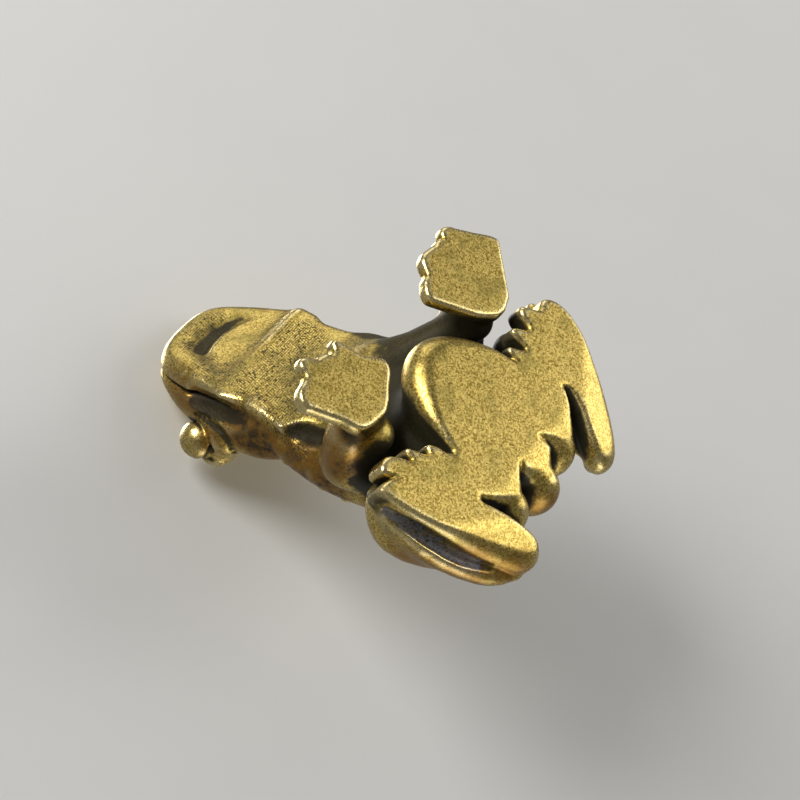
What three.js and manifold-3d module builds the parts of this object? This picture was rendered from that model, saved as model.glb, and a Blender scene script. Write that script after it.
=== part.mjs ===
// A small cast brass toad, sitting with its head raised. It faces -Y and stands on flat soles at z = 0.
import * as THREE from 'three';
import { mergeVertices } from 'three/addons/utils/BufferGeometryUtils.js';
import loadManifold from 'manifold-3d';

const wasm = await loadManifold();
wasm.setup();

// Driving dimensions in mm and degrees. Places are measured from the front tip of the belly: x out to the
// side, y back and z up from the soles.
const SEAM = 0.3; // brazing gap between two cast sections
const SOLE_ROUND = 0.5; // rounding along the edge of every sole

const BELLY_RADIUS = 8.5;
const BELLY_SETBACK = 0.5;
const BELLY_LENGTH = 17.4;
const BELLY_THICKNESS = 4.0;
const BELLY_BARREL_LENGTH = 14.0;
const BELLY_BARREL_HALF_WIDTH = 10.8;

const TORSO_HALF_WIDTH = 13.4;
const HIPS_HALF_DEPTH = 5.6;
const CHEST_HALF_DEPTH = 6.2;
const TORSO_RUMP = [0, 18.5, 5.8];
const TORSO_HIPS = [0, 10.0, 9.4];
const TORSO_CHEST = [0, 3.0, 14.5];
const TORSO_NECK = [0, -5.6, 20.8];
const RUMP_HALF_WIDTH = 8.5;
const RUMP_HALF_DEPTH = 3.2;
const NECK_HALF_WIDTH = 12.0;
const NECK_HALF_DEPTH = 5.2;

const HEAD_HALF_WIDTH = 11.0;
const HEAD_HALF_DEPTH = 5.2;
const HEAD_NAPE = [0, -3.2, 19.6];
const HEAD_CHEEKS = [0, -9.8, 25.6];
const HEAD_BROW = [0, -15.6, 29.2];
const HEAD_SNOUT = [0, -21.6, 31.8];
const SNOUT_HALF_WIDTH = 7.0;
const SNOUT_HALF_DEPTH = 2.2;
const CHIN_CREASE = [0, -13.0, 22.0]; // ridge where the throat turns into the chin
const CHIN_SLOPE = 43;
const THROAT_SLOPE = 38;
const JAW_THICKNESS = 2.0;

const EYE_RADIUS = 2.4;
const EYE_PLACE = [10.0, -10.9, 30.8];
const EYE_TURN = 41; // from straight sideways towards the snout
const EYELID_RADIUS = 3.4;
const EYELID_HALF_DEPTH = 2.6;
const EYELID_SETBACK = 2.6;

const FORELEG_WRIST = [14.0, -1.8, 1.8];
const FORELEG_ELBOW = [13.8, 0.8, 7.6];
const FORELEG_SHOULDER = [11.2, 4.2, 12.8];
const FORELEG_HALF_WIDTH = 3.1;
const SHOULDER_HALF_WIDTH = 4.6;
const FOREFOOT_THICKNESS = 1.9;
// Sole outlines of the two forefeet, carved by hand, from the inner corner around the heel to the toes
const FOREFOOT_LEFT = [
  [5.6, -4.4], [11.6, 3.0], [15.2, 2.6], [20.8, -3.0], [18.0, -6.9], [16.0, -9.0], [13.4, -8.1],
  [9.6, -9.0], [8.3, -7.0], [6.4, -6.6],
];
const FOREFOOT_RIGHT = [
  [6.4, -3.6], [10.8, 0.0], [16.3, 0.0], [20.1, -6.0], [19.2, -8.6], [17.3, -8.8], [16.6, -10.5],
  [15.2, -8.8], [13.7, -9.6], [12.1, -8.5], [10.2, -9.4], [8.8, -6.0],
];

const HIND_FOOT_THICKNESS = 2.6;
const HIND_ANKLE = [15.0, 15.0]; // the toes fan out around this place
const HIND_TOE_REACH = 10.4;
const HIND_TOE_NOTCH = 1.7;
const HIND_TOE_COUNT = 4;
const HIND_TOE_FIRST = -121;
const HIND_TOE_LAST = -65;
const HIND_OUTER_CORNER = [20.8, 6.8];
const HIND_OUTER_EDGE = [20.0, 11.6];
const HIND_HEEL_CORNER = [16.8, 18.2];
const SLIT_TOP = [10.8, 14.8]; // where the slit between foot and rump begins
const HEEL_END = [9.8, 26.0, 3.3];
const HEEL_HALF_WIDTH = 3.6;
const HEEL_HALF_HEIGHT = 2.6;
const HEEL_TAPER = 0.8; // size of the heel's end against its middle
const INSTEP_RISE = 0.85; // height of the instep's middle against the half height

const KNEE = [15.6, 5.4, 5.6];
const SHANK = [15.8, 11.8, 6.4];
const HOCK = [11.8, 22.2, 5.8];
const THIGH_HALF_WIDTH = 4.4;
const THIGH_HALF_HEIGHT = 4.6;
const KNEE_TAPER = 0.8; // height against the thigh's
const HOCK_TAPER = 0.65;
const HOCK_HALF_WIDTH = 2.8;

const LOBE_HALF_WIDTH = 2.9;
const LOBE_HALF_LENGTH = 3.6;
const LOBE_HALF_HEIGHT = 4.3;
const LOBE_SPREAD = 6.2;
const LOBE_PLACE = [0, 19.8, 4.8]; // middle lobe
const LOBE_SETBACK = 1.3; // how far the outer lobes lie ahead of the middle one

const NECK_SPIGOT_RADIUS = 2.2;
const SPIGOT_RADIUS = 1.4;
const EYE_SPIGOT_RADIUS = 0.9;
// How far each spigot reaches, as a share of the way to the middle of the section that carries it
const HEAD_REACH = 0.8;
const EYE_REACH = 0.4;
const EYELID_REACH = 0.6;
const SHOULDER_ROOT = 0.3;
const SHOULDER_REACH = 0.35;
const WRIST_REACH = 0.5;
const HIP_REACH = 0.55;
const FOOT_REACH = 0.35;
const LOBE_REACH = 0.6;
const JAW_ROOT = 0.2;

// Roundness of each body: a higher blunt has flatter ends, and a higher square has fuller corners.
const TORSO_FORM = { blunt: 6, square: 2.4, sides: 32, rings: 20 };
const BARREL_FORM = { blunt: 4, square: 2, sides: 28, rings: 12 };
const SKULL_FORM = { blunt: 5, square: 3, sides: 32, rings: 20 };
const FORELEG_FORM = { blunt: 4, square: 2, sides: 18, rings: 12 };
const HIND_LEG_FORM = { blunt: 2.6, square: 2, sides: 18, rings: 14 };
const HEEL_FORM = { blunt: 2.4, square: 2, sides: 16, rings: 12 };
const BALL_SIDES = 18;
const BALL_RINGS = 12;
const SPIGOT_SIDES = 16;
const BELLY_ARC_POINTS = 20;

const BRASS = { color: 0xb0924a, roughness: 0.4, metalness: 1 };
const SIDES = [['left', 1], ['right', -1]];
const ACROSS = new THREE.Vector3(1, 0, 0);
const FAR = 400; // longer than the figure, for blocks that cut it along a plane

// Small helpers
const place = ([x, y, z = 0], side = 1) => new THREE.Vector3(side * x, y, z);
const towards = (from, to, share) => from.clone().lerp(to, share);
const radians = THREE.MathUtils.degToRad;

function positionsOnly(geometry) {
  geometry.deleteAttribute('normal');
  geometry.deleteAttribute('uv');
  return mergeVertices(geometry, 1e-4);
}

function toSolid(geometry) {
  const { attributes, index } = positionsOnly(geometry);
  const triVerts = Uint32Array.from(index.array);
  const vertProperties = attributes.position.array;
  return new wasm.Manifold(new wasm.Mesh({ numProp: 3, vertProperties, triVerts }));
}

function toGeometry(solid) {
  const { vertProperties, triVerts } = solid.getMesh();
  const geometry = new THREE.BufferGeometry();
  geometry.setAttribute('position', new THREE.BufferAttribute(vertProperties, 3));
  geometry.setIndex(new THREE.BufferAttribute(triVerts, 1));
  geometry.computeVertexNormals();
  return geometry;
}

const cut = (solid, ...others) => others.reduce((rest, other) => rest.subtract(other), solid);

// A closed body with round ends along a smooth spine. A station has its middle and two half sizes: wide is
// measured across the toad and deep at right angles to the spine.
function loft(stations, { blunt, square, sides, rings }, grow) {
  const spine = new THREE.CatmullRomCurve3(stations.map((station) => station.at));
  const halfSizes = stations.map(({ wide, deep }) => new THREE.Vector3(wide, deep, 0));
  const sizes = new THREE.CatmullRomCurve3(halfSizes);
  const geometry = positionsOnly(new THREE.SphereGeometry(1, sides, rings));
  const { position } = geometry.attributes;
  const unit = new THREE.Vector3();
  for (let i = 0; i < position.count; i++) {
    unit.fromBufferAttribute(position, i);
    const along = (1 - unit.y) / 2;
    const cap = Math.max(0, 1 - Math.abs(unit.y) ** blunt) ** (1 / blunt);
    const rim = (Math.abs(unit.x) ** square + Math.abs(unit.z) ** square) ** (1 / square) || 1;
    const size = sizes.getPoint(along).multiplyScalar(cap / rim);
    const upward = spine.getTangent(along).cross(ACROSS).normalize();
    const spot = spine.getPoint(along);
    spot.addScaledVector(ACROSS, size.x * unit.x).addScaledVector(upward, size.y * unit.z);
    position.setXYZ(i, spot.x, spot.y, spot.z);
  }
  return toSolid(swell(geometry, grow));
}

function swell(geometry, by) {
  geometry.computeVertexNormals();
  const { position, normal } = geometry.attributes;
  const spot = new THREE.Vector3();
  const out = new THREE.Vector3();
  for (let i = 0; i < position.count; i++) {
    spot.fromBufferAttribute(position, i).addScaledVector(out.fromBufferAttribute(normal, i), by);
    position.setXYZ(i, spot.x, spot.y, spot.z);
  }
  return geometry;
}

function ellipsoid(middle, halfSizes, turn = new THREE.Quaternion()) {
  const geometry = new THREE.SphereGeometry(1, BALL_SIDES, BALL_RINGS).scale(...halfSizes);
  return toSolid(geometry.applyQuaternion(turn).translate(middle.x, middle.y, middle.z));
}

// A sole of even thickness on the ground, with a rounded edge.
function sole(outline, thickness, grow) {
  const geometry = new THREE.ExtrudeGeometry(new THREE.Shape(outline), {
    depth: thickness + 2 * grow - 2 * SOLE_ROUND,
    bevelThickness: SOLE_ROUND,
    bevelSize: SOLE_ROUND,
    bevelOffset: grow - SOLE_ROUND,
    bevelSegments: 2,
    steps: 1,
  });
  return toSolid(geometry.translate(0, 0, SOLE_ROUND - grow));
}

// Everything on the upper side of a plane that rises towards the snout.
function above(through, slope, lowerBy = 0) {
  const block = new THREE.BoxGeometry(FAR, FAR, FAR).translate(0, 0, FAR / 2 - lowerBy);
  return toSolid(block.rotateX(-radians(slope)).translate(...through));
}

function rod(from, to, radius) {
  const reach = to.clone().sub(from);
  const upright = new THREE.Vector3(0, 1, 0);
  const turn = new THREE.Quaternion().setFromUnitVectors(upright, reach.clone().normalize());
  const geometry = new THREE.CylinderGeometry(radius, radius, reach.length(), SPIGOT_SIDES);
  const middle = towards(from, to, 0.5);
  return toSolid(geometry.applyQuaternion(turn).translate(middle.x, middle.y, middle.z));
}

// Trunk: a torso that slopes up to the neck, on a barrel that stands over the belly plate.
function trunkShape(grow) {
  const torso = loft([
    { at: place(TORSO_RUMP), wide: RUMP_HALF_WIDTH, deep: RUMP_HALF_DEPTH },
    { at: place(TORSO_HIPS), wide: TORSO_HALF_WIDTH, deep: HIPS_HALF_DEPTH },
    { at: place(TORSO_CHEST), wide: TORSO_HALF_WIDTH, deep: CHEST_HALF_DEPTH },
    { at: place(TORSO_NECK), wide: NECK_HALF_WIDTH, deep: NECK_HALF_DEPTH },
  ], TORSO_FORM, grow);
  const halfLength = BELLY_BARREL_LENGTH / 2;
  const middle = [0, BELLY_SETBACK + halfLength];
  const barrel = loft([
    { at: place(middle), wide: BELLY_RADIUS, deep: halfLength },
    { at: place([...middle, 2 * BELLY_THICKNESS]), wide: BELLY_BARREL_HALF_WIDTH, deep: halfLength },
    { at: place(TORSO_CHEST), wide: BELLY_RADIUS, deep: HIPS_HALF_DEPTH },
  ], BARREL_FORM, grow);
  return torso.add(barrel).intersect(above([0, 0, BELLY_THICKNESS + SEAM], 0, grow));
}

// Head: a squarish body, flat below along the throat and the chin.
function headShape(grow) {
  const skull = loft([
    { at: place(HEAD_NAPE), wide: NECK_HALF_WIDTH, deep: HEAD_HALF_DEPTH },
    { at: place(HEAD_CHEEKS), wide: HEAD_HALF_WIDTH, deep: HEAD_HALF_DEPTH },
    { at: place(HEAD_BROW), wide: (HEAD_HALF_WIDTH + SNOUT_HALF_WIDTH) / 2, deep: HEAD_HALF_DEPTH },
    { at: place(HEAD_SNOUT), wide: SNOUT_HALF_WIDTH, deep: SNOUT_HALF_DEPTH },
  ], SKULL_FORM, grow);
  const overThroat = above(CHIN_CREASE, THROAT_SLOPE, grow);
  const overChin = above(CHIN_CREASE, CHIN_SLOPE, grow);
  return skull.intersect(overThroat).intersect(overChin);
}

// The mouth is parallel to the chin. A positive raise lies on the skull's side of it.
const overMouth = (raise) => above(CHIN_CREASE, CHIN_SLOPE, -JAW_THICKNESS - raise);

// Each ball eye looks out and forward from a flattened round lid.
const gaze = (side) => place([Math.cos(radians(EYE_TURN)), -Math.sin(radians(EYE_TURN))], side);

function eyeShape(side, grow) {
  const radius = EYE_RADIUS + grow;
  return ellipsoid(place(EYE_PLACE, side), [radius, radius, radius]);
}

function eyelidShape(side, grow) {
  const middle = place(EYE_PLACE, side).addScaledVector(gaze(side), -EYELID_SETBACK);
  const halfSizes = [EYELID_HALF_DEPTH + grow, EYELID_RADIUS + grow, EYELID_RADIUS + grow];
  return ellipsoid(middle, halfSizes, new THREE.Quaternion().setFromUnitVectors(ACROSS, gaze(side)));
}

function forelegShape(side, grow) {
  return loft([
    { at: place(FORELEG_WRIST, side), wide: FORELEG_HALF_WIDTH, deep: FORELEG_HALF_WIDTH },
    { at: place(FORELEG_ELBOW, side), wide: FORELEG_HALF_WIDTH, deep: FORELEG_HALF_WIDTH },
    { at: place(FORELEG_SHOULDER, side), wide: SHOULDER_HALF_WIDTH, deep: SHOULDER_HALF_WIDTH },
  ], FORELEG_FORM, grow);
}

function forefootShape(side, grow) {
  const corners = side > 0 ? FOREFOOT_LEFT : FOREFOOT_RIGHT;
  return sole(corners.map((corner) => place(corner, side)), FOREFOOT_THICKNESS, grow);
}

// Hind leg: thigh and shank folded into one leaf beside the foot.
function hindLegShape(side, grow) {
  return loft([
    { at: place(KNEE, side), wide: HOCK_HALF_WIDTH, deep: THIGH_HALF_HEIGHT * KNEE_TAPER },
    { at: place(SHANK, side), wide: THIGH_HALF_WIDTH, deep: THIGH_HALF_HEIGHT },
    { at: place(HOCK, side), wide: HOCK_HALF_WIDTH, deep: THIGH_HALF_HEIGHT * HOCK_TAPER },
  ], HIND_LEG_FORM, grow);
}

// Hind foot: a flat sole with toes fanned around the ankle, and a round heel that lifts off the ground.
function hindFootShape(side, grow) {
  const ray = (angle, reach) => {
    const [x, y] = HIND_ANKLE;
    const turn = radians(angle);
    return place([x + reach * Math.cos(turn), y + reach * Math.sin(turn)], side);
  };
  const step = (HIND_TOE_LAST - HIND_TOE_FIRST) / (HIND_TOE_COUNT - 1);
  const outline = [place(SLIT_TOP, side), place([BELLY_RADIUS + SEAM, BELLY_RADIUS], side)];
  for (let toe = 0; toe < HIND_TOE_COUNT; toe++) {
    const angle = HIND_TOE_FIRST + toe * step;
    outline.push(ray(angle, HIND_TOE_REACH));
    outline.push(ray(angle + step / 2, HIND_TOE_REACH - HIND_TOE_NOTCH));
  }
  outline.pop();
  for (const corner of [HIND_OUTER_CORNER, HIND_OUTER_EDGE, HIND_HEEL_CORNER]) outline.push(place(corner, side));
  const instep = place([...HIND_ANKLE, HEEL_HALF_HEIGHT * INSTEP_RISE], side);
  const heelEnd = place(HEEL_END, side);
  const heel = loft([
    { at: instep, wide: HEEL_HALF_WIDTH, deep: HEEL_HALF_HEIGHT },
    { at: towards(instep, heelEnd, 0.5), wide: HEEL_HALF_WIDTH, deep: HEEL_HALF_HEIGHT },
    { at: heelEnd, wide: HEEL_HALF_WIDTH * HEEL_TAPER, deep: HEEL_HALF_HEIGHT * HEEL_TAPER },
  ], HEEL_FORM, grow);
  return sole(outline, HIND_FOOT_THICKNESS, grow).add(heel).intersect(above([0, 0, 0], 0, grow));
}

function bellyShape(grow) {
  const outline = new THREE.Shape();
  outline.absarc(0, BELLY_RADIUS + BELLY_SETBACK, BELLY_RADIUS, Math.PI, 2 * Math.PI);
  outline.lineTo(SLIT_TOP[0] - SEAM, SLIT_TOP[1]);
  outline.lineTo(LOBE_SPREAD + LOBE_HALF_WIDTH, BELLY_LENGTH);
  outline.lineTo(-LOBE_SPREAD - LOBE_HALF_WIDTH, BELLY_LENGTH);
  outline.lineTo(SEAM - SLIT_TOP[0], SLIT_TOP[1]);
  return sole(outline.getPoints(BELLY_ARC_POINTS), BELLY_THICKNESS, grow);
}

// Three round lobes at the rump. The middle one has side 0.
function lobePlace(side) {
  const offset = [side * LOBE_SPREAD, -Math.abs(side) * LOBE_SETBACK];
  return place(LOBE_PLACE).add(place(offset));
}

function lobeShape(side, grow) {
  const halfSizes = [LOBE_HALF_WIDTH + grow, LOBE_HALF_LENGTH + grow, LOBE_HALF_HEIGHT + grow];
  return ellipsoid(lobePlace(side), halfSizes);
}

// Each section is trimmed by the ones that carry it, and keeps the brazing gap to them.
const sections = {};
const trunk = trunkShape(SEAM);
const head = headShape(SEAM);
const belly = bellyShape(SEAM);
const skull = cut(headShape(0), trunk);
sections.trunk = trunkShape(0);
sections.head = skull.intersect(overMouth(SEAM));
sections.lower_jaw = skull.subtract(overMouth(0));
sections.belly_plate = cut(bellyShape(0), trunk);
sections.rump_lobe_middle = cut(lobeShape(0, 0), trunk, belly);

for (const [name, side] of SIDES) {
  sections[`eyelid_${name}`] = cut(eyelidShape(side, 0), head, eyeShape(side, SEAM));
  sections[`eye_${name}`] = cut(eyeShape(side, 0), head);
  sections[`foreleg_${name}`] = cut(forelegShape(side, 0), trunk, head);
  sections[`forefoot_${name}`] = cut(forefootShape(side, 0), forelegShape(side, SEAM));
  sections[`hind_leg_${name}`] = cut(hindLegShape(side, 0), trunk);
  sections[`hind_foot_${name}`] = cut(hindFootShape(side, 0), trunk, hindLegShape(side, SEAM), belly);
  const besideLobe = [lobeShape(0, SEAM), hindFootShape(side, SEAM)];
  sections[`rump_lobe_${name}`] = cut(lobeShape(side, 0), trunk, belly, ...besideLobe);
}

// A round spigot on each carried section enters a socket in the section that carries it.
function join(carried, carriers, from, to, radius) {
  const bottom = to.clone().addScaledVector(to.clone().sub(from).normalize(), SEAM);
  const socket = rod(from, bottom, radius + SEAM);
  sections[carried] = sections[carried].add(rod(from, to, radius));
  for (const carrier of carriers) sections[carrier] = sections[carrier].subtract(socket);
}

const chest = place(TORSO_CHEST);
const hips = place(TORSO_HIPS);
const cheeks = place(HEAD_CHEEKS);
const brow = place(HEAD_BROW);
const crease = place(CHIN_CREASE);
const intoMouth = new THREE.Vector3(0, Math.sin(radians(CHIN_SLOPE)), Math.cos(radians(CHIN_SLOPE)));
const palate = crease.clone().addScaledVector(intoMouth, JAW_THICKNESS + 2 * SPIGOT_RADIUS);
const below = new THREE.Vector3(0, BELLY_LENGTH / 2, BELLY_THICKNESS / 2);
join('head', ['trunk'], cheeks, towards(cheeks, chest, HEAD_REACH), NECK_SPIGOT_RADIUS);
join('lower_jaw', ['head'], towards(crease, palate, JAW_ROOT), palate, SPIGOT_RADIUS);
join('belly_plate', ['trunk'], below, below.clone().setZ(2 * BELLY_THICKNESS), NECK_SPIGOT_RADIUS);

for (const [name, side] of [...SIDES, ['middle', 0]]) {
  const lobe = lobePlace(side);
  join(`rump_lobe_${name}`, ['trunk'], lobe, towards(lobe, hips, LOBE_REACH), SPIGOT_RADIUS);
}

for (const [name, side] of SIDES) {
  const eye = place(EYE_PLACE, side);
  const eyelid = eye.clone().addScaledVector(gaze(side), -EYE_RADIUS - SEAM - EYE_SPIGOT_RADIUS);
  join(`eye_${name}`, [`eyelid_${name}`, 'head'], eye, towards(eye, brow, EYE_REACH), EYE_SPIGOT_RADIUS);
  join(`eyelid_${name}`, ['head'], eyelid, towards(eyelid, cheeks, EYELID_REACH), EYE_SPIGOT_RADIUS);

  const wrist = place(FORELEG_WRIST, side);
  const elbow = place(FORELEG_ELBOW, side);
  const shoulder = place(FORELEG_SHOULDER, side);
  const upperArm = towards(elbow, shoulder, SHOULDER_ROOT);
  const palm = wrist.clone().setZ(FOREFOOT_THICKNESS / 2);
  join(`foreleg_${name}`, ['trunk'], upperArm, towards(shoulder, chest, SHOULDER_REACH), SPIGOT_RADIUS);
  join(`forefoot_${name}`, [`foreleg_${name}`], palm, towards(wrist, elbow, WRIST_REACH), SPIGOT_RADIUS);

  const shank = place(SHANK, side);
  const underKnee = towards(place(KNEE, side), shank, FOOT_REACH);
  const instep = underKnee.clone().setZ(HIND_FOOT_THICKNESS / 2);
  join(`hind_leg_${name}`, ['trunk'], shank, towards(shank, hips, HIP_REACH), SPIGOT_RADIUS);
  join(`hind_foot_${name}`, [`hind_leg_${name}`], instep, underKnee, SPIGOT_RADIUS);
}

const figure = new THREE.Group();
for (const [name, solid] of Object.entries(sections)) {
  const mesh = new THREE.Mesh(toGeometry(solid), new THREE.MeshStandardMaterial(BRASS));
  mesh.name = name;
  figure.add(mesh);
}

// The origin is the middle of the footprint, on the ground.
const box = new THREE.Box3().setFromObject(figure);
const centre = box.getCenter(new THREE.Vector3());
figure.position.set(-centre.x, -centre.y, -box.min.z);
figure.updateMatrixWorld(true);

export default figure;
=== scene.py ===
import math
import bpy
import numpy as np
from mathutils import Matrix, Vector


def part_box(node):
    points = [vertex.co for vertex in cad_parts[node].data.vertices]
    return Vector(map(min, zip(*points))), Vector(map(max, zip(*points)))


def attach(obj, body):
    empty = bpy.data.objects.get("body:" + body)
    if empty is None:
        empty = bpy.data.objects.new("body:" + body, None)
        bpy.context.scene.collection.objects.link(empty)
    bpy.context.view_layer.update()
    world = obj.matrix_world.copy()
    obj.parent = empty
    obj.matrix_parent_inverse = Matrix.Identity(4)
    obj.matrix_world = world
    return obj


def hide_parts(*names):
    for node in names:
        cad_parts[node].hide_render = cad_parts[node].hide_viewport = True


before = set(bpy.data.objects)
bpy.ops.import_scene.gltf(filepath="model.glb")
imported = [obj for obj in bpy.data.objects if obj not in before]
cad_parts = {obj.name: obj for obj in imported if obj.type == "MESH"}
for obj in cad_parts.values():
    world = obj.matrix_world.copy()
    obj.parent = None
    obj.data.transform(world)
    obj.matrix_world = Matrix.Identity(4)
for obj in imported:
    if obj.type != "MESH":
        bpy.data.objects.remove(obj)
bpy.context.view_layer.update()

import openvdb
from mathutils import Matrix, Vector

print("frame loaded:", len(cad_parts), "cast sections")

# Places below are in mm: x to the toad's left, y back, z up, from a point just in front of the belly plate
perMetre = 1000.0
plateFront = 0.5  # mm from that point to the plate
bellyTip = np.array([0.0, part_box("belly_plate")[0].y * perMetre - plateFront, 0.0])


def fromFrame(places):
    return np.asarray(places, float) * perMetre - bellyTip


def toFrame(places):
    return (np.asarray(places, float) + bellyTip) / perMetre


# The form is a block of distances to the surface, negative inside.
casting = {
    "step": 0.2,         # mm between two samples
    "band": 2.8,         # mm of distance kept around each section
    "margin": 2.4,       # mm of air around the figure
}
step = casting["step"]
band = casting["band"]
boxes = [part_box(name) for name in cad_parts]
gridLow = fromFrame(np.min([low for low, high in boxes], axis=0)) - casting["margin"]
gridHigh = fromFrame(np.max([high for low, high in boxes], axis=0)) + casting["margin"]
gridShape = tuple(int(n) for n in np.ceil((gridHigh - gridLow) / step) + 1)
axisX, axisY, axisZ = (
    (gridLow[a] + step * np.arange(gridShape[a])).astype(np.float32) for a in range(3)
)


def smoothMin(first, second, reach):
    near = np.clip(reach - np.abs(first - second), 0, None) / reach
    return np.minimum(first, second) - near * near * (reach / 4)


def smoothMax(first, second, reach):
    return -smoothMin(-first, -second, reach)


def soften(form, width, spacing=step, sigmas=2.5):
    # A Gaussian blur, cut off after some sigmas
    sigma = width / spacing
    reach = max(1, math.ceil(sigmas * sigma))
    taps = np.exp(-0.5 * (np.arange(-reach, reach + 1) / sigma) ** 2)
    taps = (taps / taps.sum()).astype(np.float32)
    for axis in range(form.ndim):
        size = form.shape[axis]
        pad = [(reach, reach) if a == axis else (0, 0) for a in range(form.ndim)]
        padded = np.pad(form, pad, mode="edge")
        total = np.zeros_like(form)
        for i, tap in enumerate(taps):
            cut = [slice(None)] * form.ndim
            cut[axis] = slice(i, i + size)
            total += tap * padded[tuple(cut)]
        form = total
    return form


def sample(form, places, low=gridLow, spacing=step):
    spot = (places - low) / spacing
    base = np.clip(np.floor(spot).astype(int), 0, np.array(form.shape) - 2)
    share = np.clip(spot - base, 0, 1)
    total = np.zeros(len(places))
    for corner in np.ndindex(*(2,) * form.ndim):
        weight = np.prod(np.where(corner, share, 1 - share), axis=1)
        total += weight * form[tuple((base + corner).T)]
    return total


def sectionForm(name, rounding):
    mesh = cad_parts[name].data
    points = np.empty(len(mesh.vertices) * 3, np.float32)
    mesh.vertices.foreach_get("co", points)
    points = (fromFrame(points.reshape(-1, 3)) - gridLow).astype(np.float32)
    mesh.calc_loop_triangles()
    corners = np.empty(len(mesh.loop_triangles) * 3, np.int32)
    mesh.loop_triangles.foreach_get("vertices", corners)
    triangles = corners.reshape(-1, 3).astype(np.uint32)
    grid = openvdb.FloatGrid.createLevelSetFromPolygons(
        points, triangles=triangles, transform=openvdb.createLinearTransform(step), halfWidth=band / step
    )
    first = np.maximum(np.floor((points.min(0) - band) / step).astype(int), 0)
    last = np.minimum(np.ceil((points.max(0) + band) / step).astype(int) + 1, gridShape)
    form = np.empty(tuple(last - first), np.float32)
    grid.copyToArray(form, ijk=tuple(int(i) for i in first))
    block = tuple(slice(a, b) for a, b in zip(first, last))
    return block, soften(form, rounding)


def kindOf(name):
    for side in ("_left", "_middle", "_right"):
        name = name.replace(side, "")
    return name


# How far each section's edges are rounded, in mm
softness = {
    "trunk": 0.8, "head": 0.3, "lower_jaw": 0.3, "belly_plate": 0.2, "eyelid": 0.25, "eye": 0.25,
    "foreleg": 0.6, "forefoot": 0.22, "hind_leg": 0.45, "hind_foot": 0.2, "rump_lobe": 0.5,
}
sections = {name: sectionForm(name, softness[kindOf(name)]) for name in sorted(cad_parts)}
print("sections sampled on a grid of", gridShape)

form = np.full(gridShape, band, np.float32)

# How softly each shape joins what is there, and how soft the rim of each hollow is, in mm
fillets = {
    "trunk": 1.0, "head": 2.0, "lower_jaw": 0.9, "throat": 1.6, "chin": 1.0, "mouth": 0.3, "eyelid": 2.0,
    "lid": 1.0, "eye": 0.3, "eyeSlit": 0.3, "lidSlit": 0.2, "lidCrease": 0.3, "cheek": 0.6, "neckPit": 0.7,
    "neckRidge": 1.4, "foreleg": 2.0, "web": 1.6, "foreSole": 1.8, "forefoot": 0.12, "belly": 1.0,
    "rump_lobe": 0.8, "lobeSole": 0.35, "hind_leg": 1.6, "bed": 1.4, "rim": 1.8, "hindSole": 0.35,
    "groove": 0.35, "farGroove": 0.5,
}


def pour(name, swell=0.0):
    block, section = sections[name]
    form[block] = smoothMin(form[block], section - swell, fillets[kindOf(name)])


def roundLine(points, parts=4):
    # A smooth closed line through given points
    points = np.asarray(points, float)
    before, after, afterNext = np.roll(points, 1, 0), np.roll(points, -1, 0), np.roll(points, -2, 0)
    t = np.linspace(0, 1, parts, endpoint=False)[None, :, None]
    p0, p1, p2, p3 = (p[:, None, :] for p in (before, points, after, afterNext))
    line = 0.5 * (
        2 * p1 + (p2 - p0) * t + (2 * p0 - 5 * p1 + 4 * p2 - p3) * t**2 + (3 * p1 - p0 - 3 * p2 + p3) * t**3
    )
    return line.reshape(-1, 2)


def outlineDistance(points, across, along):
    # Distance to a closed line in a plane, negative inside it
    line = roundLine(points)
    gx, gy = (g.ravel() for g in np.meshgrid(across, along, indexing="ij"))
    best = np.full(gx.size, 1e9)
    inside = np.zeros(gx.size, bool)
    for (ax, ay), (bx, by) in zip(line, np.roll(line, -1, 0)):
        ex, ey = bx - ax, by - ay
        share = np.clip(((gx - ax) * ex + (gy - ay) * ey) / (ex * ex + ey * ey + 1e-12), 0, 1)
        best = np.minimum(best, (gx - ax - share * ex) ** 2 + (gy - ay - share * ey) ** 2)
        if ay != by:
            inside ^= ((ay > gy) != (by > gy)) & (gx < (bx - ax) * (gy - ay) / (by - ay) + ax)
    distance = np.sqrt(best)
    return np.where(inside, -distance, distance).reshape(len(across), len(along)).astype(np.float32)


def asField(value):
    return value[:, :, None] if np.ndim(value) else value


def roundedSlab(outline, edge, thickness, lift=0.0):
    # A plate inside an outline, with rounded lower and upper edges
    edge, thickness, lift = asField(edge), asField(thickness), asField(lift)
    side = outline[:, :, None] + edge
    rise = np.abs(axisZ[None, None, :] - lift - thickness / 2) - thickness / 2 + edge
    outer = np.sqrt(np.clip(side, 0, None) ** 2 + np.clip(rise, 0, None) ** 2)
    return (np.minimum(np.maximum(side, rise), 0) + outer - edge).astype(np.float32)


def strand(stations):
    # A round body along stations of x, y, z and radius
    stations = np.asarray(stations, float)
    reach = stations[:, 3].max() + band
    first = np.clip(np.floor((stations[:, :3].min(0) - reach - gridLow) / step).astype(int), 0, None)
    last = np.minimum(np.ceil((stations[:, :3].max(0) + reach - gridLow) / step).astype(int) + 1, gridShape)
    block = tuple(slice(a, b) for a, b in zip(first, last))
    spots = np.stack(np.meshgrid(axisX[block[0]], axisY[block[1]], axisZ[block[2]], indexing="ij"), -1)
    best = np.full(spots.shape[:3], band, np.float32)
    for a, b in zip(stations, stations[1:]):
        edge = b[:3] - a[:3]
        share = np.clip((spots - a[:3]) @ edge / (edge @ edge + 1e-12), 0, 1)
        gap = spots - a[:3] - share[..., None] * edge
        radius = a[3] + share * (b[3] - a[3])
        best = np.minimum(best, np.sqrt((gap * gap).sum(-1)) - radius)
    return block, best.astype(np.float32)


def addStrand(stations, fillet):
    block, body = strand(stations)
    form[block] = smoothMin(form[block], body, fillet)


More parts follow.
